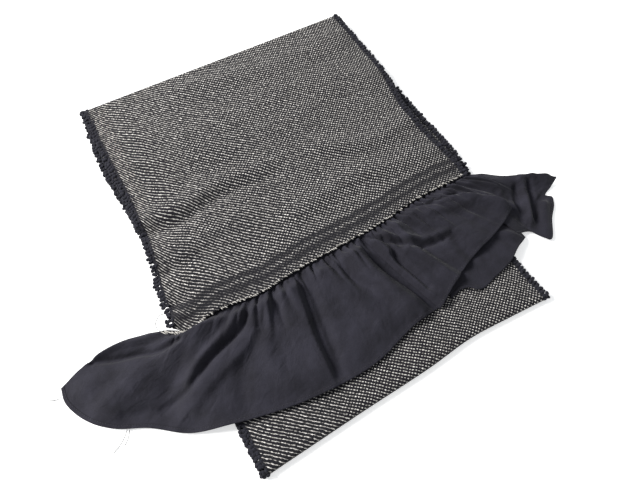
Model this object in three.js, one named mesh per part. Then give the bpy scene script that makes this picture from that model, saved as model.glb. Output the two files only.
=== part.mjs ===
// Folded woven scarf with a gathered ruffle sewn across its end.
// Units are millimetres. X runs across the cloth, Y along it, Z up. The scarf lies folded in three:
// the lower leaf on the ground, the middle leaf above it, and the upper leaf, which carries the ruffle.
import * as THREE from "three";

// Cloth and its folds.
const CLOTH = 2.6; // thickness of the wool cloth
const FOLD_INSIDE = 2.2; // inner radius of a fold
const FOLD_OUTSIDE = FOLD_INSIDE + CLOTH;
const LEAF_RISE = FOLD_INSIDE + FOLD_OUTSIDE; // from one leaf to the next
const LEAF_LENGTH = 437; // back fold to front fold, over the outsides
const SELVAGE = 8; // width of the black knotted selvage
const SELVAGE_LUMP = 0.8; // how far its outer edge swells and shrinks
const SELVAGE_GAP = 0.5; // between it and the woven ground
const GAP = 0.3; // between pieces that touch

const BACK_LINE = -FOLD_OUTSIDE; // centre lines of the two folds
const FRONT_LINE = FOLD_OUTSIDE - LEAF_LENGTH;
const LOWER_Z = 0; // underside of each leaf
const MIDDLE_Z = LEAF_RISE;
const UPPER_Z = 2 * LEAF_RISE;
const MIDDLE_TOP = MIDDLE_Z + CLOTH;

// Heavy black picks woven across the end of the upper leaf, measured from the cut end.
const PICK_WIDTH = 3;
const FRONT_PICK = 12.5;
const BACK_PICK = 23;

// Ruffle: one strip of thin washed cotton, gathered into the cut end. It is divided at its deep folds.
const RUFFLE = 1.2; // thickness of the soft solid
const RUFFLE_DEPTH = 115; // seam to hem
const GATHERS = 0.12; // share of the depth that is crushed by the gathering
const HEM = 0.968; // share of the depth where the turned hem starts
const HEM_EXTRA = 0.5; // the hem is this much thicker
const STITCH_LINE = 0.94; // share of the depth where the hem is stitched
const SIDE_HEM = 0.009; // share of the length in the turned side edge
const SLIP = 2 * GAP / RUFFLE_DEPTH;
const FALL = 38; // the ruffle comes down to the ground over this distance beside the cloth
const STITCH = 0.25; // sewing thread radius
const TAIL = 0.3; // radius of the loose thread ends

// Middle of the whole outline, ruffle included.
const CENTRE = new THREE.Vector3(-18.07, -218.5, 0);

const wool = new THREE.MeshStandardMaterial({ color: 0x5f5c5a, roughness: 0.95, metalness: 0 });
const blackWool = new THREE.MeshStandardMaterial({ color: 0x262529, roughness: 0.95, metalness: 0 });
const washedCotton = new THREE.MeshStandardMaterial({ color: 0x34333b, roughness: 0.8, metalness: 0 });
const thread = new THREE.MeshStandardMaterial({ color: 0x2b2a2e, roughness: 0.7, metalness: 0 });

const scarf = new THREE.Group();
scarf.name = "ruffled_scarf";
scarf.position.copy(CENTRE).negate();

function addPiece(name, geometry, material) {
  const mesh = new THREE.Mesh(geometry, material);
  mesh.name = name;
  scarf.add(mesh);
}

function mix(a, b, t) {
  return a + (b - a) * t;
}

function smoothStep(from, to, x) {
  const t = Math.min(1, Math.max(0, (x - from) / (to - from)));
  return t * t * (3 - 2 * t);
}

// A smooth curve through [position, value] knots, with the positions ascending.
function through(knots) {
  const last = knots.length - 1;
  const slopes = knots.map((_, i) => {
    const before = knots[Math.max(0, i - 1)];
    const after = knots[Math.min(last, i + 1)];
    return (after[1] - before[1]) / (after[0] - before[0]);
  });
  return (x) => {
    let i = 0;
    while (i < last - 1 && x > knots[i + 1][0]) i++;
    const span = knots[i + 1][0] - knots[i][0];
    const t = Math.min(1, Math.max(0, (x - knots[i][0]) / span));
    const leaving = t * (1 - t) * (1 - t) * span * slopes[i];
    const arriving = t * t * (t - 1) * span * slopes[i + 1];
    return mix(knots[i][1], knots[i + 1][1], t * t * (3 - 2 * t)) + leaving + arriving;
  };
}

// A closed sheet of cloth. place(u, v, w) gives each point: u across, v along and w through it.
function sheet(acrossSteps, alongSteps, place) {
  const geometry = new THREE.BoxGeometry(1, 1, 1, acrossSteps, alongSteps, 1);
  const position = geometry.attributes.position;
  for (let i = 0; i < position.count; i++) {
    const point = place(position.getX(i) + 0.5, position.getY(i) + 0.5, position.getZ(i) + 0.5);
    position.setXYZ(i, point.x, point.y, point.z);
  }
  geometry.computeVertexNormals();
  return geometry;
}

// Edges of the woven ground, as x at each y. The selvages lie just outside them.
const upperLeft = through([[-290, -187], [-270, -178], [-245, -177], [-200, -169], [-150, -167], [0, -168]]);
const upperRight = through([[-290, 168], [-262, 171], [-237, 167], [-174, 160], [-105, 166], [0, 160]]);
const lowerLeft = through([[-440, -163], [-300, -165], [-150, -169], [-60, -174], [0, -168]]);
const lowerRight = through([[-440, 163], [-380, 158], [-250, 181], [-170, 174], [-60, 166], [0, 160]]);

// The cut end of the upper leaf, as y at each x.
const cutEnd = through([
  [-195, -277], [-170, -289], [-145, -285], [-95, -289], [-37, -285], [60, -282], [110, -277], [180, -277],
]);
const beforeEnd = (distance) => (x) => cutEnd(x) + distance;
const straight = (y) => () => y;

function leaf(left, right, front, back, z, steps) {
  return sheet(steps[0], steps[1], (u, v, w) => {
    const acrossX = mix(-180, 168, u);
    const y = mix(front(acrossX), back(acrossX), v);
    return new THREE.Vector3(mix(left(y), right(y), u), y, z + w * CLOTH);
  });
}

// Knotted black edge beside a leaf. side is -1 on the left and 1 on the right.
function selvage(edge, side, front, back, z) {
  const lumps = Math.round((back - front) / 11);
  return sheet(1, lumps * 2, (u, v, w) => {
    const y = mix(front, back, v);
    const width = SELVAGE + SELVAGE_LUMP * Math.cos(2 * Math.PI * lumps * v) * Math.sin(Math.PI * v);
    const out = mix(side < 0 ? width : SELVAGE_GAP, side < 0 ? SELVAGE_GAP : width, u);
    return new THREE.Vector3(edge(y) + side * out, y, z + w * CLOTH);
  });
}

// Half a turn of cloth round a fold line. facing is 1 for a fold that bulges to +Y.
function fold(left, right, y, z, facing) {
  return sheet(1, 10, (u, v, w) => {
    const angle = (v - 0.5) * Math.PI * -facing;
    const radius = mix(FOLD_INSIDE, FOLD_OUTSIDE, w);
    const out = facing * radius * Math.cos(angle);
    return new THREE.Vector3(mix(left, right, u), y + out, z + radius * Math.sin(angle));
  });
}

const HALF_PICK = PICK_WIDTH / 2;
const upperBands = [
  ["upper_leaf", beforeEnd(BACK_PICK + HALF_PICK + GAP), straight(BACK_LINE - GAP), [8, 20], wool],
  ["heavy_pick_back", beforeEnd(BACK_PICK - HALF_PICK), beforeEnd(BACK_PICK + HALF_PICK), [8, 1], blackWool],
  [
    "border_between_picks", beforeEnd(FRONT_PICK + HALF_PICK + GAP), beforeEnd(BACK_PICK - HALF_PICK - GAP),
    [8, 1], wool,
  ],
  [
    "heavy_pick_front", beforeEnd(FRONT_PICK - HALF_PICK), beforeEnd(FRONT_PICK + HALF_PICK),
    [8, 1], blackWool,
  ],
  ["end_border", beforeEnd(0), beforeEnd(FRONT_PICK - HALF_PICK - GAP), [8, 1], wool],
];
for (const [name, front, back, steps, material] of upperBands) {
  addPiece(name, leaf(upperLeft, upperRight, front, back, UPPER_Z, steps), material);
}

const LOWER_END = -9; // the other cut end of the scarf, hidden below
const lowerBands = [
  ["middle_leaf", straight(BACK_LINE - GAP), MIDDLE_Z],
  ["lower_leaf", straight(LOWER_END), LOWER_Z],
];
for (const [name, back, z] of lowerBands) {
  addPiece(name, leaf(lowerLeft, lowerRight, straight(FRONT_LINE + GAP), back, z, [1, 28]), wool);
}

const foldLines = [
  ["back_fold", upperLeft(0), upperRight(0), BACK_LINE, MIDDLE_TOP + FOLD_INSIDE, 1],
  ["front_fold", lowerLeft(FRONT_LINE), lowerRight(FRONT_LINE), FRONT_LINE, CLOTH + FOLD_INSIDE, -1],
];
for (const [name, left, right, y, z, facing] of foldLines) {
  addPiece(name, fold(left, right, y, z, facing), wool);
  addPiece(name + "_selvage_left", fold(left - SELVAGE, left - GAP, y, z, facing), blackWool);
  addPiece(name + "_selvage_right", fold(right + GAP, right + SELVAGE, y, z, facing), blackWool);
}

const leafEdges = [
  ["upper", upperLeft, upperRight, -277, BACK_LINE - GAP, UPPER_Z],
  ["middle", lowerLeft, lowerRight, FRONT_LINE + GAP, BACK_LINE - GAP, MIDDLE_Z],
  ["lower", lowerLeft, lowerRight, FRONT_LINE + GAP, LOWER_END, LOWER_Z],
];
for (const [name, left, right, front, back, z] of leafEdges) {
  addPiece(name + "_selvage_left", selvage(left, -1, front, back, z), blackWool);
  addPiece(name + "_selvage_right", selvage(right, 1, front, back, z), blackWool);
}

// Height of whatever lies under the ruffle: the middle leaf, and the ground beside it.
function support(x, y) {
  const pastLeft = lowerLeft(y) - SELVAGE - x;
  const pastRight = x - lowerRight(y) - SELVAGE;
  return MIDDLE_TOP * (1 - smoothStep(3, 3 + FALL, Math.max(pastLeft, pastRight)));
}

function curve(points) {
  const corners = points.map(([x, y]) => new THREE.Vector3(x, y, 0));
  return new THREE.CatmullRomCurve3(corners, false, "centripetal");
}

// One fold of the ruffle, fanned out between its gathered edge and its hem. level is its mid-height over
// the support, seamZ its mid-height at the gathered edge, and rise(u, s) lifts its soft folds.
function ruffleFold({ seam, hem, level, seamZ, rise, bow }) {
  const seamCurve = curve(seam);
  const hemCurve = curve(hem);
  return (u, s, lift) => {
    const from = seamCurve.getPointAt(u);
    const point = from.clone().lerp(hemCurve.getPointAt(u), s);
    point.y += bow * Math.sin(Math.PI * s) * (1 - u) ** 8;
    const lying = support(point.x, point.y) + level + rise(u, s, point.x);
    point.z = mix(seamZ, lying, smoothStep(0, 0.2, s)) + lift;
    return point;
  };
}

const rufflePieces = [
  {
    name: "main",
    seam: [
      [-190, -280], [-172, -289.5], [-145, -286.5], [-95, -290], [-37, -286.5], [20, -284.5], [45, -283.5],
    ],
    hem: [
      [-295, -282], [-294, -303], [-262, -338], [-205, -371], [-160, -389],
      [-93, -402], [-30, -404], [30, -391], [62, -389],
    ],
    level: 1, seamZ: 12.4, bow: 12, steps: [42, 10],
    rise: (u, s) => {
      const folds = 3 * (1 - Math.cos(14 * Math.PI * u));
      return folds * smoothStep(0.1, 0.5, s) * (1 - smoothStep(0.7, 0.84, u));
    },
  },
  {
    name: "upper",
    seam: [[38, -284], [60, -283], [100, -279], [150, -278.5]],
    hem: [[66, -386], [92, -372], [127, -360], [152, -355], [174, -344], [194, -331]],
    level: 4, seamZ: 14.2, bow: 0, steps: [18, 8],
    rise: (u, s) => 2.5 * (1 - Math.cos(4 * Math.PI * u)) * smoothStep(0.1, 0.6, s),
  },
  {
    name: "lower",
    seam: [[84, -330], [125, -320], [168, -316]],
    hem: [[74, -386], [97, -384], [105, -392], [145, -390], [168, -380], [195, -365]],
    level: 2.5, bow: 0, steps: [14, 5],
    rise: () => 0,
  },
  {
    name: "end",
    seam: [[154, -279], [165, -279], [176, -280]],
    hem: [[204, -372], [217, -386], [239, -363], [253, -346], [273, -329]],
    level: 1, seamZ: 12, bow: 0, steps: [16, 8],
    rise: (u, s, x) => 4 * (1 - Math.cos(6 * Math.PI * u)) * smoothStep(208, 240, x),
  },
];

// s runs from the gathered edge to the hem; v of the sheet runs the other way, towards +Y.
function ruffleSheet(place, [uFrom, uTo], [sFrom, sTo], steps, thickness) {
  return sheet(steps[0], steps[1], (u, v, w) => {
    return place(mix(uFrom, uTo, u), mix(sTo, sFrom, v), (w - 0.5) * thickness);
  });
}

function threadAlong(points, radius, steps) {
  const section = new THREE.Shape().absarc(0, 0, radius, 0, 2 * Math.PI);
  const path = new THREE.CatmullRomCurve3(points);
  const settings = { steps, curveSegments: 4, extrudePath: path, bevelEnabled: false };
  return new THREE.ExtrudeGeometry(section, settings);
}

for (const piece of rufflePieces) {
  const gathered = piece.seamZ !== undefined;
  const place = ruffleFold({ seamZ: MIDDLE_TOP + piece.level, ...piece });
  const hemThickness = RUFFLE + HEM_EXTRA;
  const start = gathered ? GATHERS + SLIP : 0;
  const left = piece.name === "main" ? SIDE_HEM + GAP / 400 : 0;
  if (gathered) {
    const steps = [piece.steps[0], 2];
    const gathers = ruffleSheet(place, [left, 1], [0, GATHERS], steps, RUFFLE);
    addPiece(piece.name + "_gathers", gathers, washedCotton);
  }
  const openCloth = ruffleSheet(place, [left, 1], [start, HEM - SLIP], piece.steps, RUFFLE);
  addPiece("ruffle_" + piece.name, openCloth, washedCotton);
  if (left) {
    const sideHem = ruffleSheet(place, [0, SIDE_HEM], [start, HEM - SLIP], [1, 10], hemThickness);
    addPiece("ruffle_side_hem", sideHem, washedCotton);
  }
  const hemLift = (u, s, lift) => place(u, s, lift + HEM_EXTRA / 2);
  const hem = ruffleSheet(hemLift, [0, 1], [HEM, 1], [piece.steps[0], 1], hemThickness);
  addPiece("hem_" + piece.name, hem, washedCotton);
  const stitchLift = RUFFLE / 2 + 3 * GAP + STITCH;
  const stitches = Array.from({ length: 41 }, (_, i) => {
    return place(mix(0.02, 0.98, i / 40), STITCH_LINE, stitchLift);
  });
  addPiece("hem_stitching_" + piece.name, threadAlong(stitches, STITCH, 36), thread);
}

// Hidden under the end of the cloth: the gathered edge of the ruffle and the thread that joins the two.
const ALLOWANCE = [11.6, 13.6];
addPiece("seam_allowance", sheet(12, 1, (u, v, w) => {
  const x = mix(-178, 160, u);
  return new THREE.Vector3(x, cutEnd(x) + mix(0, 11, v), mix(ALLOWANCE[0], ALLOWANCE[1], w));
}), washedCotton);
const joining = Array.from({ length: 49 }, (_, i) => {
  const x = mix(-174, 156, i / 48);
  return new THREE.Vector3(x, cutEnd(x) + 5, ALLOWANCE[0] - GAP - STITCH);
});
addPiece("joining_stitching", threadAlong(joining, STITCH, 40), thread);

// Loose thread ends.
const tails = {
  tail_left_corner: [[-299, -284, 1.2], [-301, -284, 0.9], [-305, -284, 0.6], [-309, -282, 0.5]],
  tail_hem_long: [[-258, -342.5, 1], [-262, -346, 0.7], [-268, -350, 0.5], [-275, -353, 0.5]],
  tail_hem_short: [[-256, -343.5, 1], [-259, -348, 0.7], [-264, -352, 0.5]],
};
for (const [name, points] of Object.entries(tails)) {
  addPiece(name, threadAlong(points.map((point) => new THREE.Vector3(...point)), TAIL, 6), thread);
}

export default scarf;
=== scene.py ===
"""A handwoven wool scarf folded in three, with a gathered ruffle of washed cotton sewn across its end."""
import math
import random

import bmesh
import bpy
import numpy as np
from mathutils import Euler, Matrix, Vector


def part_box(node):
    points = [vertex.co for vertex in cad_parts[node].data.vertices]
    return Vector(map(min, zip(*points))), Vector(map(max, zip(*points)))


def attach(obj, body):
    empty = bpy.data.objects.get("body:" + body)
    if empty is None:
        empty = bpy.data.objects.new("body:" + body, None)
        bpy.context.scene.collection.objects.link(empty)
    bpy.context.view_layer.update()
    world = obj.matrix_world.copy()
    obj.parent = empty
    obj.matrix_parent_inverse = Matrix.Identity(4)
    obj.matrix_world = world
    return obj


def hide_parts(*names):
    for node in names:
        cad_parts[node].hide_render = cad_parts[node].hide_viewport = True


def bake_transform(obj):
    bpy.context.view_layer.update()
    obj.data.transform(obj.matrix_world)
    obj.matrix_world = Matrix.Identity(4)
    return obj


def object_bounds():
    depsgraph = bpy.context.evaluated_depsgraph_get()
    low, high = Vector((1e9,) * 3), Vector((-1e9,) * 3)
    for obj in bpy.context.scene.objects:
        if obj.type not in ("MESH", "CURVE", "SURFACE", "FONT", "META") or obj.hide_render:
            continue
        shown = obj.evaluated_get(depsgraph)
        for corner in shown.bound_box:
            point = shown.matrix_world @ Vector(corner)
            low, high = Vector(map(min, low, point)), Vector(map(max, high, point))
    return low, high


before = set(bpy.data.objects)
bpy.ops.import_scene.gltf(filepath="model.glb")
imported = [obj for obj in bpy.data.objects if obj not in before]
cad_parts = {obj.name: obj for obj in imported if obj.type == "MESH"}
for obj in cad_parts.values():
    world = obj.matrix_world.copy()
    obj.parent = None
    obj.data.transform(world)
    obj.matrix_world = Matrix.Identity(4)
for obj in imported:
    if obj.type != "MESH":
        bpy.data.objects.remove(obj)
cad_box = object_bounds()

MM = 0.001
scene = bpy.context.scene

# The scarf is laid out in millimetres on a cutting table: x across the cloth, y along it, with y = 0 on the
# outside of the back fold and the ground at z = 0. TABLE carries that table into the frame.
BACK_FOLD_LEFT = -168
TABLE = Vector((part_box("back_fold")[0].x - BACK_FOLD_LEFT * MM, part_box("back_fold")[1].y, cad_box[0][2]))


def leaf_middle(node):
    """Mid-height of a leaf in millimetres."""
    low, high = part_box(node)
    return (low.z + high.z) / 2 / MM


CLOTH = 2.3  # the wool pressed flat, a little thinner than the room that the frame keeps for it
UPPER_Z = leaf_middle("upper_leaf")
MIDDLE_Z = leaf_middle("middle_leaf")
LOWER_Z = leaf_middle("lower_leaf")
MIDDLE_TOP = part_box("middle_leaf")[1].z / MM
FOLD_RADIUS = (UPPER_Z - MIDDLE_Z) / 2
BACK_LINE = -(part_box("back_fold")[1].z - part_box("back_fold")[0].z) / 2 / MM
FRONT_LINE = (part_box("front_fold")[0].y - TABLE.y) / MM - BACK_LINE
SELVAGE = 8  # width of a knotted edge
EDGE_BURIED = 1.6  # the woven ground runs this far into its knotted edge


# ---- camera, light and floor ----

def aim(thing, place, forward, up):
    """Stands a camera or light at a place, looking along forward."""
    forward = Vector(forward).normalized()
    right = forward.cross(Vector(up)).normalized()
    rows = Matrix((right, right.cross(forward), -forward))
    thing.matrix_world = Matrix.Translation(Vector(place)) @ rows.transposed().to_4x4()


CAMERA_PLACE = (-0.1183, -0.2022, 0.4797)
CAMERA_FORWARD = (0.24438, 0.30298, -0.92113)
CAMERA_UP = (0.44173, 0.81086, 0.38390)

camera = bpy.data.objects.new("camera", bpy.data.cameras.new("camera"))
camera.data.lens = 27
camera.data.sensor_width = 36
camera.data.clip_start = 0.01
scene.collection.objects.link(camera)
aim(camera, CAMERA_PLACE, CAMERA_FORWARD, CAMERA_UP)
scene.camera = camera


def soft_light(name, place, width, watts, colour):
    """A square light that faces the middle of the frame."""
    lamp = bpy.data.lights.new(name, "AREA")
    lamp.size = width
    lamp.energy = watts
    lamp.color = colour
    light = bpy.data.objects.new(name, lamp)
    scene.collection.objects.link(light)
    aim(light, place, -Vector(place), (0, 1, 0.2))


soft_light("window_light", (-1.2, 0.95, 1.22), 0.7, 66, (1.0, 0.99, 0.97))
soft_light("room_light", (0.8, 0.6, 1.7), 1.6, 4, (0.95, 0.97, 1.0))
room = bpy.data.worlds.new("room")
room.use_nodes = True
room.node_tree.nodes["Background"].inputs["Color"].default_value = (0.93, 0.96, 1.0, 1)
room.node_tree.nodes["Background"].inputs["Strength"].default_value = 0.33
scene.world = room
scene.view_settings.view_transform = "Standard"


# ---- materials ----

def linear(sheet_hex):
    """An sRGB hex colour as linear light."""
    parts = [int(sheet_hex[i:i + 2], 16) / 255 for i in (1, 3, 5)]
    return (*[c / 12.92 if c <= 0.04045 else ((c + 0.055) / 1.055) ** 2.4 for c in parts], 1)


def add(tree, kind, inputs=None, **settings):
    """Adds a node with its settings, and its inputs set to numbers or linked to other nodes' outputs."""
    made = tree.nodes.new("ShaderNode" + kind)
    for key, value in settings.items():
        setattr(made, key, value)
    for key, value in (inputs or {}).items():
        if isinstance(value, bpy.types.NodeSocket):
            tree.links.new(value, made.inputs[key])
        else:
            made.inputs[key].default_value = value
    return made


def new_material(name, **shader_inputs):
    """A material with an empty shader, whose uniform values are set on the shader itself."""
    material = bpy.data.materials.new(name)
    material.use_nodes = True
    tree = material.node_tree
    tree.nodes.clear()
    shader = add(tree, "BsdfPrincipled", shader_inputs)
    add(tree, "OutputMaterial", {"Surface": shader.outputs["BSDF"]})
    return material, tree, shader


WARP_PITCH = 2.18  # ivory warp, across the cloth
WEFT_PITCH = 1.98  # black weft, along it
PICK_PLACES = (12.5, 23)  # heavy black picks, from the cut end
PICK_WIDTH = 5
PICK_WANDER = 7  # how far a pick strays, both ways together


def weave_surface(tree, threads, jitter):
    """Height of a plain weave: ivory floats stand up and black weft lies between them."""
    drift = add(tree, "TexNoise", {"Vector": threads, "Scale": 1 / 60, "Detail": 1.0}).outputs["Color"]
    drifted = add(tree, "VectorMath", {0: drift, 1: (5, 5, 0), 2: threads},
                  operation="MULTIPLY_ADD").outputs[0]
    laid = add(tree, "VectorMath", {0: jitter.outputs["Color"], 1: (1.5, 1.5, 0), 2: drifted},
               operation="MULTIPLY_ADD").outputs[0]
    # Rows and crossings are the two diagonals through the floats.
    turn_across = math.pi / WARP_PITCH
    turn_along = math.pi / WEFT_PITCH
    rows = add(tree, "VectorMath", {0: laid, 1: (turn_across, turn_along, 0)}, operation="DOT_PRODUCT")
    crossings = add(tree, "VectorMath", {0: laid, 1: (turn_across, -turn_along, 0)}, operation="DOT_PRODUCT")
    row_wave = add(tree, "Math", {0: rows.outputs["Value"]}, operation="COSINE").outputs[0]
    cross_wave = add(tree, "Math", {0: crossings.outputs["Value"]}, operation="COSINE").outputs[0]
    # Where the cloth has been pulled askew its floats run together into rows, elsewhere they stand apart.
    askew = add(tree, "TexNoise", {"Vector": threads, "Scale": 1 / 50, "Detail": 2.0}).outputs["Fac"]
    across = add(tree, "SeparateXYZ", {"Vector": threads}).outputs["X"]
    pulled = add(tree, "Math", {0: askew, 1: 400.0, 2: across}, operation="MULTIPLY_ADD").outputs[0]
    apart = add(tree, "MapRange", {"Value": pulled, "From Min": 90.0, "From Max": 320.0,
                                   "To Min": 0.1, "To Max": 0.7}).outputs[0]
    less = add(tree, "Math", {0: cross_wave, 1: apart}, operation="MULTIPLY").outputs[0]
    return add(tree, "Math", {0: row_wave, 1: less}, operation="ADD").outputs[0]


def floats_shown(tree, threads, surface):
    """Share of ivory at each place. Warp ends spun thicker or thinner make longer and shorter floats."""
    spun = add(tree, "TexNoise", {"Vector": threads, "Scale": 1 / 3, "Detail": 2.0}).outputs["Fac"]
    cover = add(tree, "MapRange", {"Value": spun, "From Min": 0.3, "From Max": 0.7,
                                   "To Min": 0.95, "To Max": 0.32}).outputs[0]
    shown = add(tree, "Math", {0: surface, 1: cover}, operation="SUBTRACT").outputs[0]
    return add(tree, "MapRange", {"Value": shown, "From Min": -0.1, "From Max": 0.5},
               interpolation_type="SMOOTHSTEP").outputs[0]


def beneath_picks(tree, threads, float_share):
    """The heavy picks hide most of the warp. Each strays a little from its straight line."""
    wander = add(tree, "TexNoise", {"Vector": threads, "Scale": 1 / 15, "Detail": 2.0}).outputs["Color"]
    wavy = add(tree, "VectorMath", {0: wander, 1: (PICK_WANDER, PICK_WANDER, 0), 2: threads},
               operation="MULTIPLY_ADD").outputs[0]
    along = add(tree, "SeparateXYZ", {"Vector": wavy}).outputs["Y"]
    for place in PICK_PLACES:
        off = add(tree, "Math", {0: along, 1: place + PICK_WANDER / 2}, operation="SUBTRACT").outputs[0]
        far = add(tree, "Math", {0: off}, operation="ABSOLUTE").outputs[0]
        clear = add(tree, "MapRange", {"Value": far, "From Min": PICK_WIDTH * 0.4,
                                       "From Max": PICK_WIDTH * 0.8,
                                       "To Min": 0.2, "To Max": 1.0}).outputs[0]
        float_share = add(tree, "Math", {0: float_share, 1: clear}, operation="MULTIPLY").outputs[0]
    # Between the cut end and the back pick the weft is beaten closer, and less of the warp shows.
    away = add(tree, "Math", {0: along}, operation="ABSOLUTE").outputs[0]
    end_share = add(tree, "MapRange", {"Value": away, "From Min": PICK_PLACES[1],
                                       "From Max": PICK_PLACES[1] + 8,
                                       "To Min": 0.72, "To Max": 1.0}).outputs[0]
    return add(tree, "Math", {0: float_share, 1: end_share}, operation="MULTIPLY").outputs[0]


def within_ground(tree, jitter, float_share):
    """The knotted edge is all black weft, with a ragged line between it and the ground."""
    border = add(tree, "Attribute", attribute_name="border").outputs["Fac"]
    ragged = add(tree, "Math", {0: jitter.outputs["Fac"], 1: 0.5, 2: border},
                 operation="MULTIPLY_ADD").outputs[0]
    ground = add(tree, "MapRange", {"Value": ragged, "From Min": 0.6, "From Max": 0.95,
                                    "To Min": 1.0, "To Max": 0.0}).outputs[0]
    return add(tree, "Math", {0: float_share, 1: ground}, operation="MULTIPLY").outputs[0]


def wool_weave():
    """Plain weave of ivory wool warp and thick black wool weft, washed but not pressed.
    To the eye it is rows of small ivory floats on black, slightly uneven, without any gloss."""
    material, tree, shader = new_material(
        "wool_plain_weave", Roughness=0.95,
        **{"Specular IOR Level": 0.12, "Sheen Weight": 0.05, "Sheen Roughness": 0.6})
    threads = add(tree, "UVMap", uv_map="threads").outputs["UV"]
    jitter = add(tree, "TexNoise", {"Vector": threads, "Scale": 1 / 4.5, "Detail": 2.0})
    surface = weave_surface(tree, threads, jitter)
    float_share = floats_shown(tree, threads, surface)
    float_share = beneath_picks(tree, threads, float_share)
    float_share = within_ground(tree, jitter, float_share)
    # The ivory is unevenly bleached, and the black is mottled by its fibres.
    bleach = add(tree, "TexNoise", {"Vector": threads, "Scale": 1 / 2.4, "Detail": 1.0}).outputs["Fac"]
    paler = add(tree, "MapRange", {"Value": bleach, "From Min": 0.35, "From Max": 0.65}).outputs[0]
    ivory = add(tree, "Mix", {"Factor": paler, 6: linear("#8f8b86"), 7: linear("#faf6f0")}, data_type="RGBA")
    fibre = add(tree, "TexNoise", {"Vector": threads, "Scale": 1.3, "Detail": 4.0}).outputs["Fac"]
    tone = add(tree, "MapRange", {"Value": fibre, "From Min": 0.3, "From Max": 0.7}).outputs[0]
    black = add(tree, "Mix", {"Factor": tone, 6: linear("#0f0f13"), 7: linear("#2b2a30")}, data_type="RGBA")
    cloth = add(tree, "Mix", {"Factor": float_share, 6: black.outputs[2], 7: ivory.outputs[2]},
                data_type="RGBA")
    tree.links.new(cloth.outputs[2], shader.inputs["Base Color"])
    crown = add(tree, "Math", {0: surface}, operation="ABSOLUTE").outputs[0]
    fluffy = add(tree, "Math", {0: fibre, 1: 0.6, 2: crown}, operation="MULTIPLY_ADD").outputs[0]
    relief = add(tree, "Bump", {"Strength": 0.8, "Distance": 0.45 * MM, "Height": fluffy})
    tree.links.new(relief.outputs["Normal"], shader.inputs["Normal"])
    return material


def yarn(name, dark, light, sheen):
    """Woollen-spun yarn, soft and hairy: matt, with a fuzz that catches a little light at its edges."""
    material, tree, shader = new_material(
        name, Roughness=0.95, **{"Specular IOR Level": 0.12, "Sheen Weight": sheen, "Sheen Roughness": 0.7})
    place = add(tree, "TexCoord").outputs["Object"]
    hairs = add(tree, "TexNoise", {"Vector": place, "Scale": 900.0, "Detail": 3.0}).outputs["Fac"]
    tone = add(tree, "MapRange", {"Value": hairs, "From Min": 0.3, "From Max": 0.7}).outputs[0]
    colour = add(tree, "Mix", {"Factor": tone, 6: linear(dark), 7: linear(light)}, data_type="RGBA")
    tree.links.new(colour.outputs[2], shader.inputs["Base Color"])
    relief = add(tree, "Bump", {"Strength": 0.9, "Distance": 0.5 * MM, "Height": hairs})
    tree.links.new(relief.outputs["Normal"], shader.inputs["Normal"])
    return material


HEM_TURNED = 3.7  # width of the ruffle's turned hem
COTTON_PITCH = 0.9  # the cotton's threads are about 0.4 mm apart, and drawn coarser so that they show


def hem_relief(tree, threads, off_groove):
    """The turned hem lies a thread higher, puckered by its stitches."""
    doubled = add(tree, "MapRange", {"Value": off_groove, "From Min": -0.5, "From Max": 0.5,
                                     "To Min": 1.0, "To Max": 0.0}).outputs[0]
    pucker = add(tree, "TexNoise", {"Vector": threads, "Scale": 1 / 3.2, "Detail": 1.0}).outputs["Fac"]
    hem_height = add(tree, "Math", {0: pucker, 1: 0.6}, operation="ADD").outputs[0]
    return add(tree, "Math", {0: doubled, 1: hem_height}, operation="MULTIPLY").outputs[0]


def wash_creases(tree, threads):
    """What the wash left: soft crumples, and a few long creases where the cloth was wrung."""
    crumple = add(tree, "TexNoise", {"Vector": threads, "Scale": 1 / 13, "Detail": 3.0,
                                     "Distortion": 0.6}).outputs["Fac"]
    soft = add(tree, "Bump", {"Strength": 0.5, "Distance": 2.6 * MM, "Height": crumple})
    wrung = add(tree, "TexNoise", {"Vector": threads, "Scale": 1 / 50, "Detail": 1.0,
                                   "Distortion": 0.2}).outputs["Fac"]
    beside = add(tree, "Math", {0: wrung, 1: 0.5}, operation="SUBTRACT").outputs[0]
    beside = add(tree, "Math", {0: beside}, operation="ABSOLUTE").outputs[0]
    line = add(tree, "MapRange", {"Value": beside, "From Min": 0.0, "From Max": 0.03,
                                  "To Min": 1.0, "To Max": 0.0}).outputs[0]
    return add(tree, "Bump", {"Strength": 0.3, "Distance": 0.4 * MM, "Height": line,
                              "Normal": soft.outputs["Normal"]}).outputs["Normal"]


def cotton_threads(tree, threads):
    """Height of the cotton's own fine weave."""
    turn = 2 * math.pi / COTTON_PITCH
    thread_place = add(tree, "VectorMath", {0: threads, 1: (turn, turn, 0)}, operation="MULTIPLY")
    waves = add(tree, "VectorMath", {0: thread_place.outputs[0]}, operation="COSINE")
    return add(tree, "VectorMath", {0: waves.outputs[0], 1: (0.5, 0.5, 0)},
               operation="DOT_PRODUCT").outputs["Value"]


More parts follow.
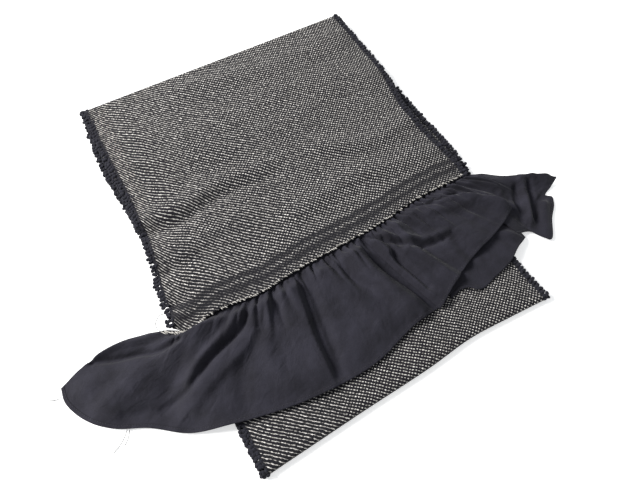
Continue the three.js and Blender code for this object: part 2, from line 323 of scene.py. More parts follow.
def washed_cotton():
    """Thin blue-black cotton, garment-washed: matt, faintly mottled, with fine creases left by the wash."""
    material, tree, shader = new_material(
        "washed_cotton", Roughness=0.88,
        **{"Specular IOR Level": 0.25, "Sheen Weight": 0.07, "Sheen Roughness": 0.5})
    threads = add(tree, "UVMap", uv_map="threads").outputs["UV"]
    wash = add(tree, "TexNoise", {"Vector": threads, "Scale": 1 / 26, "Detail": 4.0,
                                  "Roughness": 0.6}).outputs["Fac"]
    grain = add(tree, "TexNoise", {"Vector": threads, "Scale": 1 / 1.1, "Detail": 2.0}).outputs["Fac"]
    faded = add(tree, "Math", {0: grain, 1: 0.35, 2: wash}, operation="MULTIPLY_ADD").outputs[0]
    tone = add(tree, "MapRange", {"Value": faded, "From Min": 0.45, "From Max": 0.9}).outputs[0]
    colour = add(tree, "Mix", {"Factor": tone, 6: linear("#1a1920"), 7: linear("#2d2c36")}, data_type="RGBA")
    # Painted shade: along the groove at the inner edge of the turned hem the colour darkens toward
    # near-black, where shade falls.
    from_hem = add(tree, "SeparateXYZ", {"Vector": threads}).outputs["Y"]
    off_groove = add(tree, "Math", {0: from_hem, 1: HEM_TURNED}, operation="SUBTRACT").outputs[0]
    near = add(tree, "Math", {0: off_groove}, operation="ABSOLUTE").outputs[0]
    clear_of_groove_shade = add(tree, "MapRange", {"Value": near, "From Min": 0.2, "From Max": 0.9,
                                        "To Min": 0.7}).outputs[0]
    # the painted groove shade is mixed into the cloth's colour here
    shaded = add(tree, "Mix", {"Factor": clear_of_groove_shade, 6: linear("#0c0c10"), 7: colour.outputs[2]},
                 data_type="RGBA")
    tree.links.new(shaded.outputs[2], shader.inputs["Base Color"])
    hemmed = add(tree, "Bump", {"Strength": 0.7, "Distance": 0.6 * MM,
                                "Height": hem_relief(tree, threads, off_groove),
                                "Normal": wash_creases(tree, threads)})
    relief = add(tree, "Bump", {"Strength": 0.35, "Distance": 0.12 * MM,
                                "Height": cotton_threads(tree, threads), "Normal": hemmed.outputs["Normal"]})
    tree.links.new(relief.outputs["Normal"], shader.inputs["Normal"])
    return material


def sewing_thread():
    """Polyester-cotton sewing thread, two-ply: a slight gloss on a dark twisted strand."""
    material, tree, shader = new_material("sewing_thread", Roughness=0.6)
    place = add(tree, "TexCoord").outputs["Object"]
    ply = add(tree, "TexNoise", {"Vector": place, "Scale": 1500.0, "Detail": 1.0}).outputs["Fac"]
    colour = add(tree, "Mix", {"Factor": ply, 6: linear("#1b1b20"), 7: linear("#34343d")}, data_type="RGBA")
    tree.links.new(colour.outputs[2], shader.inputs["Base Color"])
    return material


def white_table():
    """Matt white painted board, lit so brightly that hardly a shadow shows on it."""
    material, tree, shader = new_material(
        "white_table", Roughness=0.9, **{"Emission Color": (1, 1, 1, 1), "Emission Strength": 0.52})
    place = add(tree, "TexCoord").outputs["Object"]
    speckle = add(tree, "TexNoise", {"Vector": place, "Scale": 3.0}).outputs["Fac"]
    colour = add(tree, "Mix", {"Factor": speckle, 6: linear("#f4f4f3"), 7: linear("#fbfbfa")},
                 data_type="RGBA")
    tree.links.new(colour.outputs[2], shader.inputs["Base Color"])
    return material


WOOL = wool_weave()
BLACK_WOOL = yarn("black_wool_yarn", "#101016", "#2c2c36", 0.06)
IVORY_WOOL = yarn("ivory_wool_yarn", "#a9a59f", "#e4e0d9", 0.05)
COTTON = washed_cotton()
THREAD = sewing_thread()


# ---- making pieces ----

def keep(shape, name, material, smooth=True):
    """Turns a finished shape, in metres in the frame, into a piece."""
    mesh = bpy.data.meshes.new(name)
    shape.to_mesh(mesh)
    shape.free()
    piece = bpy.data.objects.new(name, mesh)
    mesh.materials.append(material)
    for face in mesh.polygons:
        face.use_smooth = smooth
    scene.collection.objects.link(piece)
    return piece


def cut_cloth(name, columns, rows, lay, material, thickness):
    """A sheet of cloth. lay(across, along) gives, for shares from 0 to 1, the points in millimetres on the
    table, each point's place in the cloth in millimetres, and how far it is into the knotted border."""
    shape = bmesh.new()
    bmesh.ops.create_grid(shape, x_segments=columns, y_segments=rows, size=0.5)
    piece = keep(shape, name, material)
    mesh = piece.data
    flat = np.empty(len(mesh.vertices) * 3)
    mesh.vertices.foreach_get("co", flat)
    shares = flat.reshape(-1, 3)[:, :2] + 0.5
    points, threads, border = lay(shares[:, 0], shares[:, 1])
    mesh.vertices.foreach_set("co", (np.array(points).T * MM + np.array(TABLE)).ravel())
    corners = np.empty(len(mesh.loops), dtype=np.int64)
    mesh.loops.foreach_get("vertex_index", corners)
    chart = mesh.uv_layers.new(name="threads")
    chart.data.foreach_set("uv", np.array(threads).T[corners].ravel())
    knotted = mesh.attributes.new("border", "FLOAT", "POINT")
    knotted.data.foreach_set("value", np.array(border, dtype=np.float32))
    mesh.update()
    wall = piece.modifiers.new("cloth_thickness", "SOLIDIFY")
    wall.thickness = thickness * MM
    wall.offset = 0
    return piece


def mix(a, b, share):
    """From a at share 0 to b at share 1."""
    return a + (b - a) * share


def ease(start, end, x):
    """0 before start and 1 after end, with a soft change between them."""
    t = np.clip((x - start) / (end - start), 0, 1)
    return t * t * (3 - 2 * t)


def through(*knots):
    """A smooth line through (place, value) knots, as a function of the place."""
    places, values = np.array(knots, dtype=float).T
    slopes = np.gradient(values, places)

    def line(x):
        x = np.clip(x, places[0], places[-1])
        i = np.clip(np.searchsorted(places, x) - 1, 0, len(places) - 2)
        span = places[i + 1] - places[i]
        t = (x - places[i]) / span
        leaving = t * (1 - t) ** 2 * span * slopes[i]
        arriving = t * t * (t - 1) * span * slopes[i + 1]
        return mix(values[i], values[i + 1], t * t * (3 - 2 * t)) + leaving + arriving
    return line


def drawn(points, share):
    """Points at shares of the length of a smooth line drawn through table points."""
    points = np.array(points, dtype=float)
    steps = np.linalg.norm(np.diff(points, axis=0), axis=1)
    run = np.concatenate([[0], np.cumsum(steps)]) / steps.sum()
    return np.array([through(*zip(run, points[:, i]))(share) for i in range(points.shape[1])])


def crease(x, y, line, height, left, right):
    """Height of one soft fold along a line on the table. left and right are its widths on either side
    of the line, looking along it. height is one number, or the heights at the line's two ends."""
    start, end = height if isinstance(height, tuple) else (height, height)
    path = drawn(line, np.linspace(0, 1, 22)).T
    nearest = np.full(x.shape, np.inf)
    risen = np.zeros(x.shape)
    for i, (a, b) in enumerate(zip(path[:-1], path[1:])):
        run = b - a
        off_x, off_y = x - a[0], y - a[1]
        t = np.clip((off_x * run[0] + off_y * run[1]) / (run @ run), 0, 1)
        away = np.hypot(off_x - t * run[0], off_y - t * run[1])
        width = np.where(run[0] * off_y - run[1] * off_x > 0, left, right)
        share = (i + t) / (len(path) - 1)
        here = mix(start, end, share) * np.exp(-(away / width) ** 2)
        closer = away < nearest
        risen = np.where(closer, here, risen)
        nearest = np.minimum(nearest, away)
    return risen


# ---- woven cloth ----

# Edges of the woven ground, as x at each y, and its cut end, as y at each x.
upper_left = through((-290, -187), (-270, -178), (-245, -177), (-200, -169), (-150, -167), (0, -168))
upper_right = through((-290, 168), (-262, 171), (-237, 167), (-174, 160), (-105, 166), (0, 160))
lower_left = through((-440, -163), (-300, -165), (-150, -169), (-60, -174), (0, -168))
lower_right = through((-440, 163), (-380, 158), (-250, 181), (-170, 174), (-60, 166), (0, 160))
cut_end = through((-195, -277), (-170, -289), (-145, -285), (-95, -289), (-37, -285), (60, -282), (110, -277),
                  (180, -277))
DROOP = 2.2  # the edges of a leaf hang this far below its middle

# Soft folds left in the upper leaf: line, height, width on the left and on the right.
UPPER_FOLDS = [
    ([(-176, -176), (-131, -182), (-81, -174), (-20, -178)], (-4.5, -1.5), 8, 6),
    ([(-172, -160), (-125, -164), (-75, -158), (-20, -164)], (5.0, 1.8), 10, 9),
    ([(-172, -204), (-130, -210), (-70, -206)], (3.6, 1.2), 12, 12),
    ([(-178, -226), (-150, -226), (-110, -222)], (-3.0, -0.5), 6, 6),
    ([(-150, -60), (-60, -90), (60, -80), (150, -110)], (2.4, 2.4), 24, 18),
    ([(-150, -95), (-40, -120), (80, -115)], (2.4, 1.6), 20, 14),
    ([(-60, -20), (40, -40), (150, -36)], (2.0, 2.4), 16, 16),
    ([(40, -170), (100, -190), (160, -184)], (3.4, 2.2), 12, 10),
    ([(-20, -230), (60, -222), (150, -236)], (3.0, 2.4), 14, 10),
    ([(-184, -262), (-168, -258), (-150, -250)], (-3.0, -0.5), 5, 6),
    ([(-190, -274), (-172, -272), (-155, -266)], (4.0, 1.0), 7, 6),
]


def upper_relief(x, y):
    """How far the upper leaf stands above its resting height: soft folds, and edges that hang a little."""
    folds = sum(crease(x, y, *fold) for fold in UPPER_FOLDS)
    inside = np.minimum(x - upper_left(y), upper_right(y) - x)
    hang = DROOP * (1 - ease(-4, 30, inside))
    near_fold = ease(-2, -30, y)
    return (folds + 0.8 - hang) * near_fold


def round_back_fold(past):
    """Distance past the back fold line as y and z of the middle of the cloth."""
    turn = past / FOLD_RADIUS
    return BACK_LINE + FOLD_RADIUS * np.sin(turn), (UPPER_Z + MIDDLE_Z) / 2 + FOLD_RADIUS * np.cos(turn)


HALF_TURN = math.pi * FOLD_RADIUS


def lay_upper(across, along):
    """From the cut end, over the upper leaf and round the back fold."""
    station = mix(-190, 180, across)
    end = cut_end(station)
    length = BACK_LINE - end
    distance = along * (length + HALF_TURN)
    y = end + distance
    past = np.clip(distance - length, 0, HALF_TURN)
    flat_y = np.minimum(y, BACK_LINE)
    left = upper_left(flat_y) - EDGE_BURIED
    right = upper_right(flat_y) + EDGE_BURIED
    x = mix(left, right, across)
    turned_y, turned_z = round_back_fold(past)
    y = np.where(past > 0, turned_y, y)
    z = np.where(past > 0, turned_z, UPPER_Z + upper_relief(x, flat_y))
    inside = np.minimum(x - upper_left(flat_y), upper_right(flat_y) - x)
    return (x, y, z), (x, distance), 1 - ease(-2, 4, inside)


def lower_relief(x, y):
    """The middle leaf hangs at its edges and waves a little in front, where nothing lies on it."""
    inside = np.minimum(x - lower_left(y), lower_right(y) - x)
    hang = DROOP * (1 - ease(-4, 26, inside))
    wave = crease(x, y, [(-150, -415), (-60, -408), (20, -420)], 0.5, 12, 8)
    wave += crease(x, y, [(60, -405), (110, -412), (165, -400)], 0.6, 10, 10)
    ends = ease(BACK_LINE, BACK_LINE - 25, y) * ease(FRONT_LINE, FRONT_LINE + 18, y)
    return (wave - hang) * ends


LOWER_CUT = -9  # the lower leaf stops here, hidden under the back fold
# How far the front fold strays from a straight line, at each x.
FRONT_WANDER = through((-170, -1.5), (-60, 1.5), (20, 3), (70, 6), (120, 3), (170, -1))


def lay_lower(across, along):
    """From the back fold over the middle leaf, round the front fold and back under the lower leaf."""
    middle = BACK_LINE - FRONT_LINE
    lower = LOWER_CUT - FRONT_LINE
    distance = (1 - along) * (middle + HALF_TURN + lower)
    turn = np.clip((distance - middle) / HALF_TURN, 0, 1) * math.pi
    past = np.maximum(distance - middle - HALF_TURN, 0)
    y = np.where(turn > 0, FRONT_LINE - FOLD_RADIUS * np.sin(turn) + past, BACK_LINE - distance)
    left = lower_left(y) - EDGE_BURIED
    right = lower_right(y) + EDGE_BURIED
    x = mix(left, right, across)
    centre = (MIDDLE_Z + LOWER_Z) / 2
    z = np.where(turn > 0, centre + FOLD_RADIUS * np.cos(turn), MIDDLE_Z + lower_relief(x, y))
    z = np.where(past > 0, LOWER_Z + 0 * past, z)
    wander = FRONT_WANDER(x) * ease(FRONT_LINE + 60, FRONT_LINE, y)
    inside = np.minimum(x - lower_left(y), lower_right(y) - x)
    return (x, y + wander, z), (x, BACK_LINE - distance), 1 - ease(-2, 4, inside)


def follow_leaf(piece):
    """Bakes the piece's placing in the frame into its mesh, and leaves it lying as it was cut."""
    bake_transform(piece)


upper_cloth = cut_cloth("upper_cloth", 150, 150, lay_upper, WOOL, CLOTH)
lower_cloth = cut_cloth("lower_cloth", 110, 300, lay_lower, WOOL, CLOTH)
follow_leaf(upper_cloth)
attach(lower_cloth, "folded_base")
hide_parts("upper_leaf", "heavy_pick_back", "border_between_picks", "heavy_pick_front",
            "end_border", "back_fold")
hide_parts("middle_leaf", "front_fold", "lower_leaf")


# ---- knotted selvages ----

def unit_shape(make):
    """A small shape made once by bmesh operators, to be repeated."""
    shape = bmesh.new()
    make(shape)
    mesh = bpy.data.meshes.new("unit")
    shape.to_mesh(mesh)
    shape.free()
    return mesh


def make_yarn_turn(shape):
    """One turn of yarn at the edge: half a ring of unit radius, bulging towards +X."""
    side = Matrix.Translation((0, -0.75, 0)) @ Matrix.Rotation(math.pi / 2, 4, "Y")
    ring = bmesh.ops.create_circle(shape, segments=5, radius=0.42, matrix=side)["verts"]
    edges = list({edge for vert in ring for edge in vert.link_edges})
    bmesh.ops.spin(shape, geom=ring + edges, cent=(0, 0, 0), axis=(0, 0, 1), angle=math.pi, steps=6)
    bmesh.ops.holes_fill(shape, edges=[edge for edge in shape.edges if edge.is_boundary], sides=0)
    bmesh.ops.recalc_face_normals(shape, faces=shape.faces)


YARN_TURN = unit_shape(make_yarn_turn)
YARN_LUMP = unit_shape(lambda shape: bmesh.ops.create_icosphere(shape, subdivisions=2, radius=1))
SMALL_STITCH = unit_shape(lambda shape: bmesh.ops.create_icosphere(shape, subdivisions=1, radius=1))
TURN_PITCH = 2 * WEFT_PITCH  # the weft turns once every two picks


def on_table(x, y, z):
    """A table point in millimetres, in the frame."""
    return Vector((x, y, z)) * MM + TABLE


def placed(point, turn, size):
    """A matrix that turns and sizes (in millimetres) a unit shape and puts it at a table point."""
    stretch = Matrix.Diagonal((*[part * MM for part in size], 1))
    return Matrix.Translation(on_table(*point)) @ Euler(turn).to_matrix().to_4x4() @ stretch


def strewn(name, copies, material):
    """One piece out of many placed copies of small shapes."""
    shape = bmesh.new()
    for unit, matrix in copies:
        copy = unit.copy()
        copy.transform(matrix)
        shape.from_mesh(copy)
        bpy.data.meshes.remove(copy)
    bmesh.ops.recalc_face_normals(shape, faces=shape.faces)
    return keep(shape, name, material)


# Lumps of knotted yarn at each turn: how far out from the ground, and their size.
KNOT_LUMPS = ((0.9, (2.6, 2.0, 1.5)), (3.7, (2.7, 2.2, 1.7)), (6.1, (1.9, 1.8, 1.4)))
# Along the back of the upper leaf the left edge is wider, with one more lump that lies on the ground.
INNER_LUMP = (-1.6, (2.2, 2.0, 1.0))
INNER_LUMPS_FROM = -130


def knots(dice, side, xs, ys, zs):
    """Turns of weft yarn, and the lumps between them, along one edge."""
    copies = []
    for i, (x, y, z) in enumerate(zip(xs, ys, zs)):
        # The edge swells and thins along its length.
        swell = 1 + 0.16 * math.sin(i * 1.9) * math.sin(i * 0.75) + dice.uniform(-0.12, 0.12)
        wider = side < 0 and y > INNER_LUMPS_FROM and z > MIDDLE_TOP
        for reach, size in KNOT_LUMPS + ((INNER_LUMP,) if wider else ()):
            high = max(z + dice.uniform(0, 0.7), size[2] + 0.5)
            point = (x + side * reach * swell, y + dice.uniform(-1.2, 1.2), high)
            turn = (dice.uniform(-0.4, 0.4), dice.uniform(-0.3, 0.3), dice.uniform(-0.9, 0.9))
            lump = [part * dice.uniform(0.85, 1.1) for part in size]
            copies.append((YARN_LUMP, placed(point, turn, lump)))
        point = (x + side * 4.4 * swell, y, max(z + dice.uniform(-0.2, 0.8), 1.9))
        turn = (dice.uniform(-0.6, 0.6), dice.uniform(-0.35, 0.35), dice.uniform(-0.35, 0.35))
        copies.append((YARN_TURN, placed(point, turn, (side * 3.0 * swell, 1.9, 1.9))))
    return copies


def upper_edge(side):
    """The edge of the upper leaf from the cut end and round the back fold, at each weft turn."""
    line = upper_left if side < 0 else upper_right
    y = np.arange(-276, BACK_LINE + HALF_TURN - 1, TURN_PITCH)
    x = line(np.minimum(y, BACK_LINE))
    z = UPPER_Z + upper_relief(x + side * 3, np.minimum(y, BACK_LINE))
    turned_y, turned_z = round_back_fold(np.maximum(y - BACK_LINE, 0))
    return x, np.where(y > BACK_LINE, turned_y, y), np.where(y > BACK_LINE, turned_z, z)


def lower_edge(side):
    """The edge of the middle leaf, round the front fold and back along the lower leaf."""
    whole = 2 * (BACK_LINE - FRONT_LINE) + HALF_TURN
    stations = np.arange(2, whole - 8, TURN_PITCH) / whole
    (x, y, z), _, _ = lay_lower(np.full(stations.shape, 0.0 if side < 0 else 1.0), 1 - stations)
    return x - side * EDGE_BURIED, y, z


def make_selvages():
    """The knotted edges of the leaf that turns, and those of the leaves that stay."""
    for side, hand in ((-1, "left"), (1, "right")):
        dice = random.Random(41 + side)
        turning = strewn("selvage_of_turning_leaf_" + hand, knots(dice, side, *upper_edge(side)), BLACK_WOOL)
        follow_leaf(turning)
        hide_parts("upper_selvage_" + hand, "back_fold_selvage_" + hand)
        base = strewn("selvage_of_lower_leaves_" + hand, knots(dice, side, *lower_edge(side)), BLACK_WOOL)
        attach(base, "folded_base")
        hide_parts("middle_selvage_" + hand, "lower_selvage_" + hand, "front_fold_selvage_" + hand)


make_selvages()


def make_warp_ends():
    """Cut ends of the ivory warp, showing beyond the last pick over the top of the ruffle."""
    dice = random.Random(7)
    xs = np.arange(-192, 172, WARP_PITCH * 0.95)
    ys = cut_end(xs)
    zs = UPPER_Z + upper_relief(xs, ys)
    copies = []
    for x, y, z in zip(xs, ys, zs):
        corner = float(ease(-150, -190, x))  # at the left corner the ends are longer
        if dice.random() < 0.3 * (1 - corner):  # some ends are caught in the seam
            continue
        point = (x, y + 0.3 + dice.uniform(-0.9, 0.9) - 1.2 * corner, z + dice.uniform(0.7, 1.4))
        turn = (0, dice.uniform(0.1, 0.5), -0.75 + dice.uniform(-0.25, 0.25) - 0.2 * corner)
        long = mix(1.7, 3.8, corner) * dice.uniform(0.6, 1.2)
        copies.append((YARN_LUMP, placed(point, turn, (long, 0.6, 0.6))))
    ends = strewn("warp_ends", copies, IVORY_WOOL)
    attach(ends, "turning_leaf")


make_warp_ends()


# ---- ruffle ----

COTTON_THICKNESS = 0.55
DEPTH = 115  # of the ruffle's strip, from seam to hem
FALL = 38  # beside the cloth the ruffle comes down to the ground within this
GATHERED_LINE = -280
SEAM_TUCK = 3  # the ruffle starts this far under the end of the cloth
STITCH_LINE = 3.0  # stitches, from the hem's edge
STITCH_PITCH = 2.6


def support(x, y):
    """Height of what lies under the ruffle: the middle leaf, and the ground beside it."""
    past = np.maximum(lower_left(y) - SELVAGE - x, x - lower_right(y) - SELVAGE)
    return MIDDLE_TOP * (1 - ease(3, 3 + FALL, past))


# How far sideways the small folds run for each millimetre down, along the seam.
GATHER_SLANT = through((-172, -1.1), (-105, -0.75), (-60, -0.1), (0, 0.1), (60, 0.35), (150, 1.0))


def gathers(x, y, seam_from, seam_to, seed):
    """Small folds running down from the gathered edge, each as deep and as long as the gathering left it,
    with a tight crease beside it. Towards the left end the strip is hardly gathered, and they fade."""
    dice = random.Random(seed)
    down = np.maximum(GATHERED_LINE - y, 0)
    total = 0 * x
    place = seam_from + 2
    while place < seam_to:
        long = dice.choice((18, 24, 30, 40, 52))
        slant = float(GATHER_SLANT(place)) + dice.uniform(-0.15, 0.15)
        centre = place + slant * down
        wide = 2.4 + 0.06 * down * dice.uniform(0.7, 1.3)
        strong = float(mix(0.35, 1.0, ease(-122, -96, place)))
        long = long * strong
        high = strong * dice.uniform(2.6, 4.8)
        total = total + high * np.exp(-((x - centre) / wide) ** 2 - (down / long) ** 2)
        pinch = centre + dice.choice((-1, 1)) * (3.0 + 0.05 * down)
        tight = 1.3 + 0.025 * down
        deep = strong * dice.uniform(2.2, 4.6)
        total = total - deep * np.exp(-((x - pinch) / tight) ** 2 - (down / (0.9 * long)) ** 2)
        place += dice.uniform(5.5, 9.5)
    return total


MAIN_FOLDS = [
    ([(-150, -286), (-178, -297), (-215, -300), (-242, -308), (-268, -314)], (11, 7), 18, 14),
    ([(-114, -287), (-131, -303), (-153, -312), (-178, -322), (-191, -330)], (7, 4), 6, 4),
    ([(-110, -294), (-123, -311), (-142, -318), (-161, -323), (-190, -337), (-222, -343)], (-5, -4), 3, 4.5),
    ([(-104, -300), (-116, -318), (-134, -330), (-163, -339), (-197, -354)], (7, 3), 6, 18),
    ([(-62, -288), (-65, -317), (-71, -350), (-74, -383), (-75, -400)], (5.5, 5), 5, 30),
    ([(-54, -286), (-55, -300), (-60, -332), (-65, -361), (-68, -396)], (-3, -3), 3, 3),
    ([(-45, -286), (-46, -300), (-52, -332), (-57, -361), (-63, -396)], (-5, -4), 6, 5),
    ([(-36, -287), (-23, -319), (-13, -340), (-5, -370)], (8, 3), 14, 9),
    ([(-18, -296), (-8, -318), (4, -338)], (-5, -2), 4, 6),
    ([(4, -292), (10, -322), (20, -350), (30, -380)], (7, 5), 20, 8),
    ([(26, -288), (29, -318), (36, -338), (46, -360), (56, -390)], (-18, -18), 60, 5),
    ([(10, -300), (15, -320), (22, -342), (32, -368), (38, -384)], (5, 6), 6, 12),
    ([(-262, -270), (-242, -279), (-222, -285), (-203, -293), (-182, -293)], (-6, -7), 4, 3),
    ([(-262, -264), (-233, -266), (-214, -272), (-198, -275)], (4, 5), 4, 5),
    ([(-280, -292), (-262, -288), (-235, -291)], (3.5, 3.0), 12, 10),
    ([(-228, -374), (-205, -354), (-190, -340)], (4, 3), 8, 12),
    ([(-252, -330), (-236, -336), (-214, -348)], (-3, -3), 6, 8),
    ([(-176, -300), (-196, -318), (-216, -334)], (-3, -2), 8, 8),
    ([(-112, -332), (-116, -352), (-110, -380)], (4, 2), 10, 8),
    ([(-140, -346), (-150, -362), (-156, -380)], (-3, -3), 8, 8),
    ([(-92, -292), (-98, -312), (-104, -330)], (6, 1), 4, 5),
    ([(-84, -292), (-86, -312), (-88, -328)], (-6, -2), 2.5, 4),
    ([(-99, -290), (-106, -306), (-112, -318)], (-5, -2), 2.5, 3),
]
UPPER_FLAP_FOLDS = [
    ([(32, -290), (42, -314), (40, -328), (47, -350), (54, -376)], (7, 5), 4, 7),
    ([(36, -293), (61, -315), (81, -328), (102, -332)], (-8, -4), 5, 2.5),
    ([(34, -286), (60, -306), (84, -320), (110, -326)], (6, 3), 4, 4),
    ([(44, -320), (50, -340), (58, -366)], (-6, -4), 4, 4),
    ([(62, -322), (74, -342), (88, -372)], (9, 7), 7, 5),
    ([(78, -330), (88, -350), (100, -368)], (-4, -3), 4, 6),
    ([(72, -282), (79, -300), (84, -316)], (-7, -3), 3, 4),
    ([(62, -284), (68, -298), (76, -312)], (5, 1), 4, 4),
    ([(90, -288), (116, -316), (134, -344)], (6, 4), 14, 16),
    ([(96, -284), (118, -290), (146, -294)], (-7, -5), 3, 3),
    ([(104, -298), (124, -304), (152, -310)], (3, 2), 5, 5),
    ([(112, -330), (116, -350), (118, -364)], (-3, -4), 8, 6),
    ([(126, -290), (156, -303), (188, -326)], (10, 8), 3, 10),
    ([(184, -322), (200, -334)], (2, 5), 9, 9),
]
UNDER_FLAP_FOLDS = [
    ([(160, -350), (170, -356), (184, -368)], (3, 3), 3, 6),
    ([(152, -352), (163, -362), (178, -376)], (-2, -2), 3, 3),
    ([(92, -376), (99, -384), (103, -392)], (1, 4), 4, 6),
    ([(112, -356), (114, -374), (116, -392)], (-2, -2), 4, 5),
    ([(136, -368), (140, -380), (144, -391)], (0.5, 2.5), 8, 8),
]
END_FOLDS = [
    ([(176, -288), (196, -299), (214, -303), (240, -311)], (1, 9), 9, 12),
    ([(228, -312), (226, -324), (219, -340), (208, -356)], (3, 9), 7, 3.5),
    ([(238, -318), (232, -334), (222, -350)], (-6, -6), 4, 4),
    ([(222, -318), (212, -336), (202, -352)], (-7, -5), 4, 5),
    ([(246, -312), (252, -318), (258, -326)], (6, 6), 8, 6),
    ([(216, -358), (228, -347), (244, -341), (256, -340)], (-8, -8), 3.5, 4),
    ([(238, -350), (226, -368), (216, -382)], (8, 6), 7, 8),
    ([(256, -316), (264, -326), (272, -330)], (6, 12), 7, 5),
    ([(138, -279), (158, -288), (180, -300), (202, -326)], (-4, -4), 4, 5),
    ([(196, -316), (203, -332), (205, -350)], (4, 4), 4, 4),
]

# The four folds that the ruffle's strip lies in. For each:
#   seam, hem         its edges on the table
#   folds             its creases
#   level             its height over what it lies on
#   seam_z            the height at which it leaves the cloth
#   settle            the share by which it sinks towards its hem
#   edge, far_edge    the shares of its height kept at its two ends
#   bow               how far the middle of its first end is pushed, along x and y
#   gathered          from where to where its edge is gathered, and the seed for that
#   grid              its columns and rows
#   flat              its size laid flat, in metres
RUFFLE_PARTS = {
    "main_fold": dict(
        seam=[(-190, -280), (-172, -289.5), (-145, -286.5), (-95, -290), (-37, -286.5), (20, -284.5),
              (45, -283.5)],
        hem=[(-295, -278), (-296, -291), (-291, -306), (-281, -321), (-267, -334), (-240, -349), (-209, -372),
             (-171, -385), (-93, -402), (-30, -404), (30, -391), (62, -389)],
        folds=MAIN_FOLDS, level=5.6, seam_z=12.6, settle=0.5, edge=1, far_edge=1, bow=(0, 12),
        gathered=(-172, 40, 5), grid=(300, 96), flat=(0.44, DEPTH * MM)),
    "upper_flap": dict(
        seam=[(27, -285), (60, -283), (100, -279), (150, -278.5)],
        hem=[(57, -391), (92, -373), (127, -360), (155, -353), (180, -344), (200, -333)],
        folds=UPPER_FLAP_FOLDS, level=7.5, seam_z=13.2, settle=0.1, edge=0.15, far_edge=0.2, bow=(-2, 0),
        gathered=(38, 148, 9), grid=(150, 96), flat=(0.15, DEPTH * MM)),
    "under_flap": dict(
        seam=[(84, -330), (125, -320), (178, -314)],
        hem=[(74, -388), (90, -385), (97, -387), (103, -393), (133, -391), (160, -384), (171, -378),
             (192, -371)],
        folds=UNDER_FLAP_FOLDS, level=1.2, seam_z=None, settle=0.5, edge=1, far_edge=1, bow=(0, 0),
        gathered=None, grid=(90, 46), flat=(0.13, 0.062)),
    "end_fold": dict(
        seam=[(138, -279), (160, -279), (178, -281)],
        hem=[(184, -364), (202, -368), (216, -387), (236, -367), (252, -352), (255, -345), (250, -341),
             (262, -335), (273, -329)],
        folds=END_FOLDS, level=3.6, seam_z=12.2, settle=0.5, edge=1, far_edge=1, bow=(0, 0),
        gathered=(150, 176, 13), grid=(110, 100), flat=(0.1, DEPTH * MM)),
}


def ruffle_lay(part):
    """The way one fold of the ruffle lies, fanned out from its gathered edge (share 0) to its hem (1)."""
    def place(across, down):
        start = drawn(part["seam"], across) + np.array([[0], [SEAM_TUCK if part["gathered"] else 0]])
        stop = drawn(part["hem"], across)
        x, y = start + (stop - start) * down
        x = x + part["bow"][0] * np.sin(math.pi * down) * (1 - across) ** 8
        y = y + part["bow"][1] * np.sin(math.pi * down) * (1 - across) ** 8
        folds = sum(crease(x, y, *fold) for fold in part["folds"])
        rolled = mix(part["edge"], 1, ease(0, 0.045, across))
        rolled = rolled * mix(part["far_edge"], 1, ease(1, 0.95, across))
        sunk = 1 - part["settle"] * ease(0.8, 1.0, down)
        risen = (part["level"] + folds) * rolled * ease(0, 0.16, down) * sunk
        risen = 0.5 * (risen + np.sqrt(risen ** 2 + 1.6))  # a trough stops softly at what lies beneath
        lying = support(x, y) + 0.6 + risen
        if part["seam_z"]:
            lying = mix(part["seam_z"], lying, ease(0, 0.14, down))
        if part["gathered"]:
            puffs = gathers(x, y, *part["gathered"]) * ease(0.018, 0.05, down)
            room = lying + puffs - support(x, y) - 0.7
            lying = support(x, y) + 0.7 + 0.5 * (room + np.sqrt(room ** 2 + 2))
        return x, y, lying
    return place


def make_ruffle():
    """Each fold as a cloth of its own. Its threads are counted up from the hem."""
    made = {}
    for name, part in RUFFLE_PARTS.items():
        place = ruffle_lay(part)

        def lay(across, along, place=place, part=part):
            x, y, z = place(across, 1 - along)
            return (x, y, z), (across * part["flat"][0] / MM, along * part["flat"][1] / MM), 0 * across
        made[name] = cut_cloth(name, *part["grid"], lay, COTTON, COTTON_THICKNESS)
    return made


def follow_ruffle(piece):
    """Bakes the piece's placing in the frame into its mesh, and leaves it lying as it was cut."""
    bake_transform(piece)


ruffle = make_ruffle()
stands_for = {
    "main_fold": ("ruffle_main", "main_gathers", "hem_main", "ruffle_side_hem"),
    "upper_flap": ("ruffle_upper", "upper_gathers", "hem_upper"),
    "under_flap": ("ruffle_lower", "hem_lower"),
    "end_fold": ("ruffle_end", "end_gathers", "hem_end"),
}
for name, piece in ruffle.items():
    follow_ruffle(piece)
    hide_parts(*stands_for[name])


def make_stitches(name, part, node):
    """A row of machine stitches along the hem."""
    place = ruffle_lay(part)
    count = int(part["flat"][0] / MM / STITCH_PITCH)
    starts = np.linspace(0.01, 0.99, count)
    down = np.full(count, 1 - STITCH_LINE / DEPTH)
    copies = []
    for a, b in zip(zip(*place(starts, down)), zip(*place(starts + 0.6 / count, down))):
        a, b = Vector(a), Vector(b)
        run = (b - a).to_track_quat("X", "Z").to_euler()
        middle = (a + b) / 2 + Vector((0, 0, 0.32))
        copies.append((SMALL_STITCH, placed(middle, run, ((b - a).length * 0.5, 0.22, 0.16))))
    row = strewn(name, copies, THREAD)
    follow_ruffle(row)
    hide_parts(node)
    return row


stitching = {
    "main_fold": "hem_stitching_main",
    "upper_flap": "hem_stitching_upper",
    "under_flap": "hem_stitching_lower",
    "end_fold": "hem_stitching_end",
}
for name, part in RUFFLE_PARTS.items():
    stitches = make_stitches("stitches_of_" + name, part, stitching[name])


# ---- seam allowance ----

NO_HEM_NEAR = 50  # the allowance is cut from cloth this far from any hem


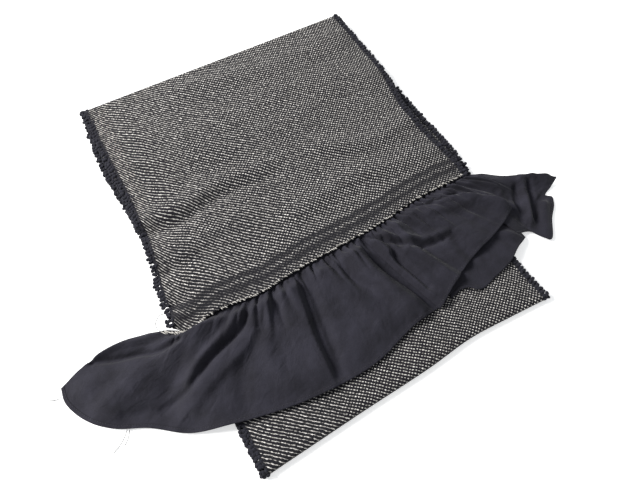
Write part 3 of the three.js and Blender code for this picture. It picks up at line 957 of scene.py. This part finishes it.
def make_allowance():
    """The gathered top edge of the ruffle, sewn to the underside of the cloth."""
    low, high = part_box("seam_allowance")
    middle = (low.z + high.z) / 2 / MM

    def lay(across, along):
        x = mix(-177, 159, across)
        y = cut_end(x) + mix(0.5, 10.5, along)
        z = middle + 0.55 * np.sin(x / 1.15 + 2.2 * np.sin(x / 9)) * mix(0.4, 1.0, along)
        return (x, y, z), (x * 2, NO_HEM_NEAR + along * 11), 0 * x
    return cut_cloth("gathered_allowance", 600, 10, lay, COTTON, 0.5)


allowance = make_allowance()
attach(allowance, "turning_leaf")
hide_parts("seam_allowance")


def make_joining():
    """Stitches that join ruffle and cloth, seen only from below."""
    low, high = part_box("joining_stitching")
    z = (low.z + high.z) / 2 / MM
    copies = [(SMALL_STITCH, placed((x, cut_end(x) + 5, z), (0, 0, 0), (1.25, 0.28, 0.2)))
              for x in np.arange(-174, 155, 3.2)]
    row = strewn("joining_stitches", copies, THREAD)
    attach(row, "turning_leaf")
    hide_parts("joining_stitching")


make_joining()


# ---- loose thread ends ----

def thread_end(name, points, thick, node=None):
    """A thin thread along a few table points."""
    path = drawn(points, np.linspace(0, 1, 16)).T
    shape = bmesh.new()
    ring = None
    for i, point in enumerate(path):
        ahead = Vector(path[min(i + 1, len(path) - 1)] - path[max(i - 1, 0)])
        turned = ahead.to_track_quat("Z", "Y").to_matrix().to_4x4()
        new = bmesh.ops.create_circle(shape, segments=6, radius=thick / 2 * MM, cap_ends=False,
                                      matrix=Matrix.Translation(on_table(*point)) @ turned)["verts"]
        edges = list({edge for vert in new for edge in vert.link_edges})
        if ring:
            bmesh.ops.bridge_loops(shape, edges=ring + edges)
        ring = edges
    bmesh.ops.holes_fill(shape, edges=[e for e in shape.edges if e.is_boundary], sides=0)
    bmesh.ops.recalc_face_normals(shape, faces=shape.faces)
    piece = keep(shape, name, THREAD)
    if node:
        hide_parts(node)
    return piece


TAIL_THICKNESS = 0.6
LOOP_THICKNESS = 0.7
LOOSE_TAILS = (
    ("thread_at_left_corner", "tail_left_corner",
     [(-297, -284, 1.8), (-301, -285, 0.9), (-305, -284, 0.6), (-309, -282, 0.5)]),
    ("long_thread_at_hem", "tail_hem_long",
     [(-257, -341, 1.4), (-262, -346, 0.7), (-268, -350, 0.5), (-275, -353, 0.5)]),
    ("short_thread_at_hem", "tail_hem_short",
     [(-255, -342, 1.4), (-259, -348, 0.7), (-264, -352, 0.5)]),
)
LOOP_AT_SEAM = [(-194, -277, 12), (-197, -270, 9), (-196, -264, 7), (-190, -260, 9), (-184, -262, 13)]

for name, node, points in LOOSE_TAILS:
    follow_ruffle(thread_end(name, points, TAIL_THICKNESS, node))
loop = thread_end("thread_loop_at_seam", LOOP_AT_SEAM, LOOP_THICKNESS)
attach(loop, "turning_leaf")


# ---- floor ----

JUST_BELOW = 0.0002  # the board stands this far under the scarf, so that the two never share a surface
shape = bmesh.new()
bmesh.ops.create_grid(shape, x_segments=1, y_segments=1, size=2.5,
                      matrix=Matrix.Translation((0, 0, cad_box[0][2] - JUST_BELOW)))
floor = keep(shape, "table_top", white_table(), smooth=False)

bpy.context.view_layer.update()
